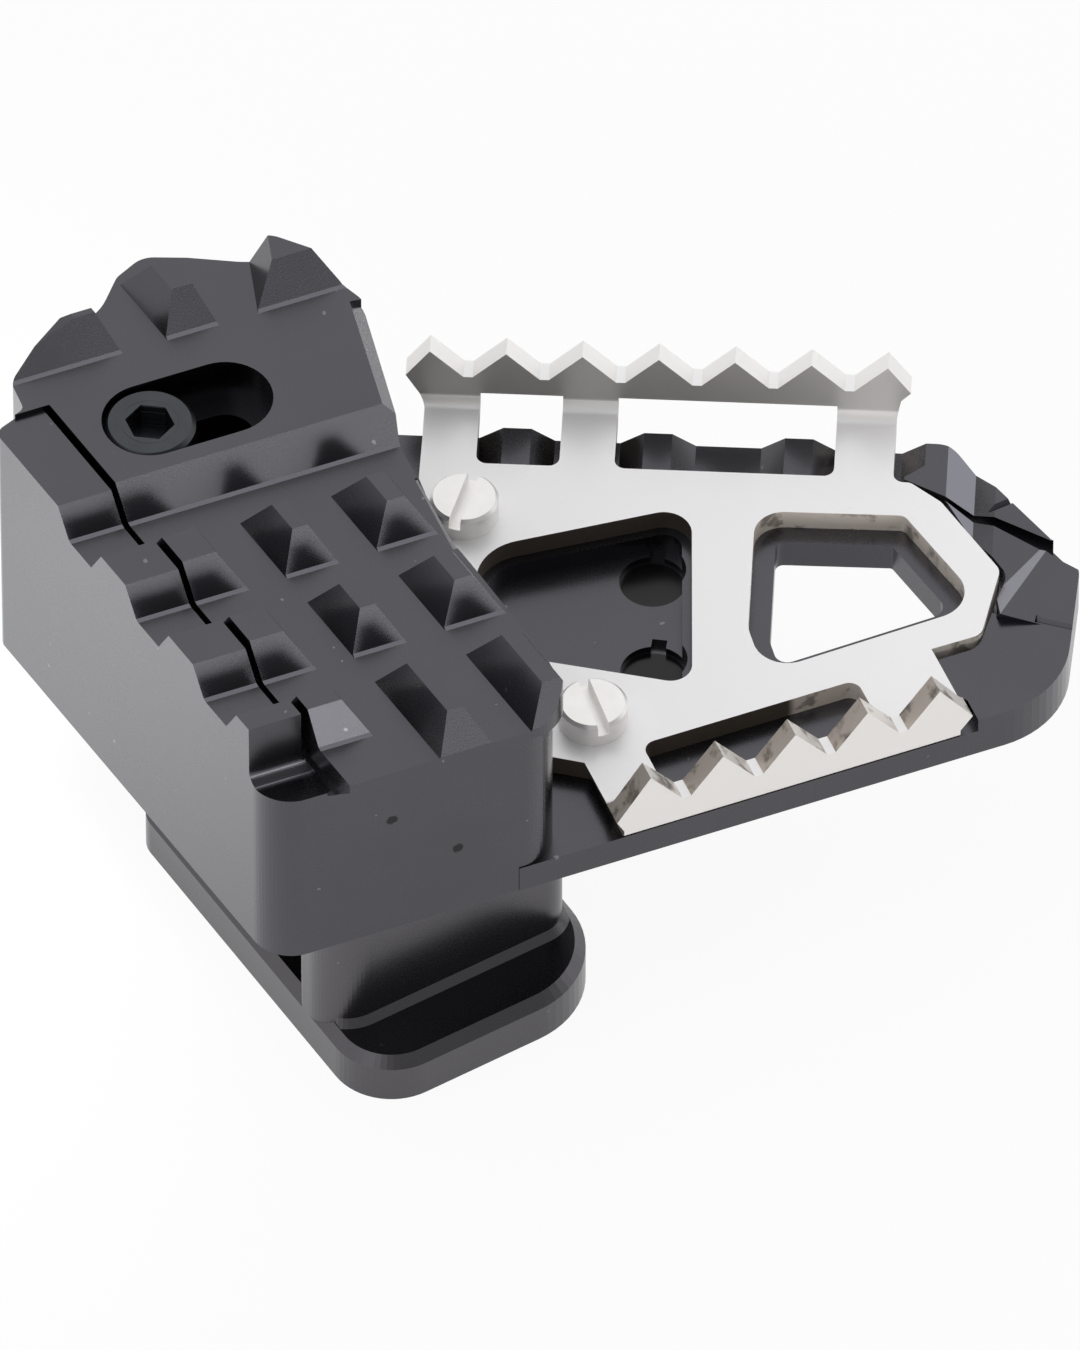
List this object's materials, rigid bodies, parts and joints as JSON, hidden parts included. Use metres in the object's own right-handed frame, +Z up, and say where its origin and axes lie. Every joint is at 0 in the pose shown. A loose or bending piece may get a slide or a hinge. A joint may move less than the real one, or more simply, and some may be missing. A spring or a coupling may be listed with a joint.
{
  "type": "brake pedal extension",
  "caption": "Black stepped grip block with an open side frame and a serrated steel tread plate, clamped to a brake pedal by a lower jaw and one bolt.",
  "frame": {"origin": "middle of the bounding box in plan, at the level of the lower jaw's underside, on which the part rests", "axes": "+X across the bike towards the frame's free end, +Y to the rear edge with the grip block's terrace, +Z up from the jaw to the grip teeth"},
  "size_m": [0.0939, 0.0673, 0.0492],
  "materials": {
    "body_black": "black anodised, satin",
    "jaw_black": "black anodised, satin",
    "bolt_oxide": "black oxide",
    "plate_steel": "bead-blasted stainless",
    "screw_steel": "plain stainless"
  },
  "bodies": {
    "clamp": {"lower_jaw": "jaw_black", "clamp_bolt": "bolt_oxide"},
    "extension": {"main_body": "body_black", "serrated_plate": "plate_steel", "plate_screw_rear": "screw_steel", "plate_screw_front": "screw_steel"}
  },
  "joints": [
    {"name": "side_setting", "type": "slide", "parent": "clamp", "child": "extension", "axis": [1, 0, 0], "range_m": [-0.0074, 0]}
  ]
}
